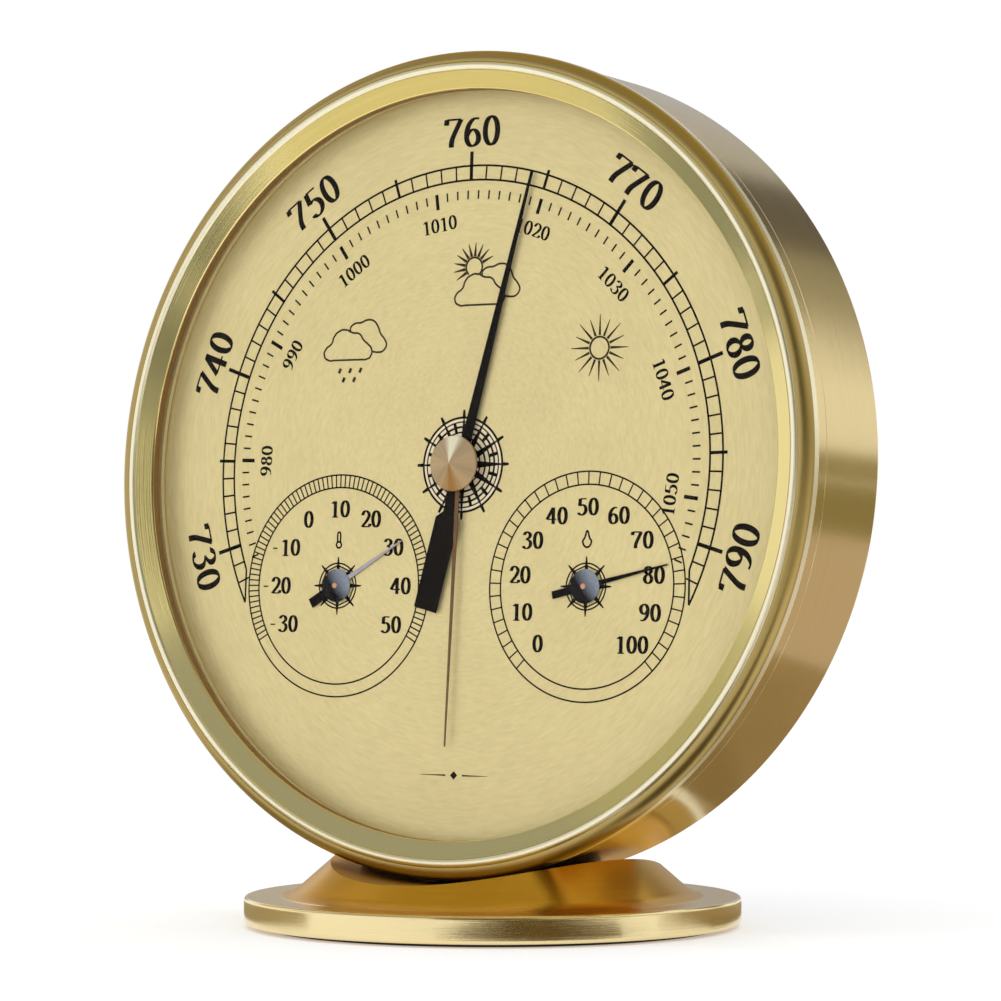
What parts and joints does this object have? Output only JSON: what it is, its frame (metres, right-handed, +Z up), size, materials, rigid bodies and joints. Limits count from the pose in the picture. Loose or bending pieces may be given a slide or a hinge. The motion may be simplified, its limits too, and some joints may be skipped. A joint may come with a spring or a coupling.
{
  "type": "weather station",
  "caption": "Round brass-coloured desk weather station: a barometer dial with small temperature and humidity dials, standing on a turned base.",
  "frame": {"origin": "middle of the underside, on the pad", "axes": "+Z up, the dial faces -Y, +X to the right of the dial"},
  "size_m": [0.132, 0.08, 0.1401],
  "materials": {
    "satin_brass": "satin, lacquered",
    "amber_brass": "polished, lacquered",
    "dial_gold": "brushed champagne",
    "black_paint": "satin",
    "plain_brass": "plain",
    "steel": "plain",
    "copper": "plain",
    "rubber": "matt",
    "dark_plastic": "fine grain",
    "clear_glass": "polished",
    "foil": "matt"
  },
  "bodies": {
    "case_and_stand": {"bezel": "satin_brass", "case_drum": "satin_brass", "base": "amber_brass", "dial_plate": "dial_gold", "knob_bush": "plain_brass", "arbor_bridge": "plain_brass", "movement_plate": "plain_brass", "movement_pillar_1": "plain_brass", "movement_pillar_2": "plain_brass", "movement_pillar_3": "plain_brass", "movement_pillar_4": "plain_brass", "movement_pillar_5": "plain_brass", "rocker_bracket_1": "plain_brass", "rocker_bracket_2": "plain_brass", "hairspring_stud": "plain_brass", "base_screw_1": "steel", "base_screw_2": "steel", "nut_bar": "steel", "back_cover_screw_1": "steel", "back_cover_screw_2": "steel", "back_cover_screw_3": "steel", "movement_screw_1": "steel", "movement_screw_2": "steel", "movement_screw_3": "steel", "movement_screw_4": "steel", "movement_screw_5": "steel", "capsule_back": "steel", "sector_post": "steel", "hairspring": "steel", "thermo_coil": "copper", "base_pad": "rubber", "saddle_pad": "rubber", "spacer_ring": "dark_plastic", "retaining_ring": "dark_plastic", "back_cover": "dark_plastic", "thermo_cup": "dark_plastic", "hygro_cup": "dark_plastic", "glass": "clear_glass", "hygro_coil": "foil"},
    "set_pointer": {"set_knob": "plain_brass", "knob_spindle": "plain_brass", "set_hand": "plain_brass"},
    "pointer": {"pointer_arbor": "steel", "hand_bush": "plain_brass", "hairspring_collet": "plain_brass", "pressure_hand": "black_paint"},
    "sector": {"sector_gear": "plain_brass"},
    "rocker": {"rocker": "steel"},
    "capsule_front": {"capsule_front": "steel"},
    "thermo_pointer": {"thermo_arbor": "copper", "thermo_hand": "black_paint", "thermo_cap": "black_paint"},
    "hygro_pointer": {"hygro_arbor": "copper", "hygro_hand": "black_paint", "hygro_cap": "black_paint"},
    "calibration_screw": {"calibration_screw": "plain_brass"}
  },
  "joints": [
    {"name": "set_knob_turn", "type": "hinge", "parent": "case_and_stand", "child": "set_pointer", "pos_m": [0, -0.01098, 0.07417], "axis": [0, 0.9986, -0.0523], "continuous": true},
    {"name": "sector_swing", "type": "hinge", "parent": "case_and_stand", "child": "sector", "pos_m": [0, 0.00024, 0.04955], "axis": [0, 0.9986, -0.0523], "range_deg": [-11.5, 14.7]},
    {"name": "pointer_turn", "type": "hinge", "parent": "case_and_stand", "child": "pointer", "pos_m": [0, -0.00849, 0.07404], "axis": [0, 0.9986, -0.0523], "range_deg": [-132, 103]},
    {"name": "rocker_rock", "type": "hinge", "parent": "case_and_stand", "child": "rocker", "pos_m": [-0.008, -0.00545, 0.06386], "axis": [0, 0.0523, 0.9986], "range_deg": [-7.3, 5.7]},
    {"name": "capsule_breathe", "type": "slide", "parent": "case_and_stand", "child": "capsule_front", "axis": [0, 0.9986, -0.0523], "range_m": [-0.001, 0.00078], "stiffness_N_per_m": 1300},
    {"name": "thermo_turn", "type": "hinge", "parent": "case_and_stand", "child": "thermo_pointer", "pos_m": [-0.0239, -0.0095, 0.05466], "axis": [0, 0.9986, -0.0523], "range_deg": [-180, 60], "stiffness_Nm_per_rad": 0.00002},
    {"name": "hygro_turn", "type": "hinge", "parent": "case_and_stand", "child": "hygro_pointer", "pos_m": [0.0239, -0.0095, 0.05466], "axis": [0, 0.9986, -0.0523], "range_deg": [-213, 59], "stiffness_Nm_per_rad": 0.00002},
    {"name": "calibration_turn", "type": "hinge", "parent": "case_and_stand", "child": "calibration_screw", "pos_m": [0, 0.00635, 0.09929], "axis": [0, 0.9986, -0.0523], "continuous": true}
  ],
  "couplings": [
    {"joint": "rocker_rock", "follows": "capsule_breathe", "rad_per_m": 125},
    {"joint": "sector_swing", "follows": "capsule_breathe", "rad_per_m": -255.5},
    {"joint": "pointer_turn", "follows": "capsule_breathe", "rad_per_m": 2299.5}
  ]
}
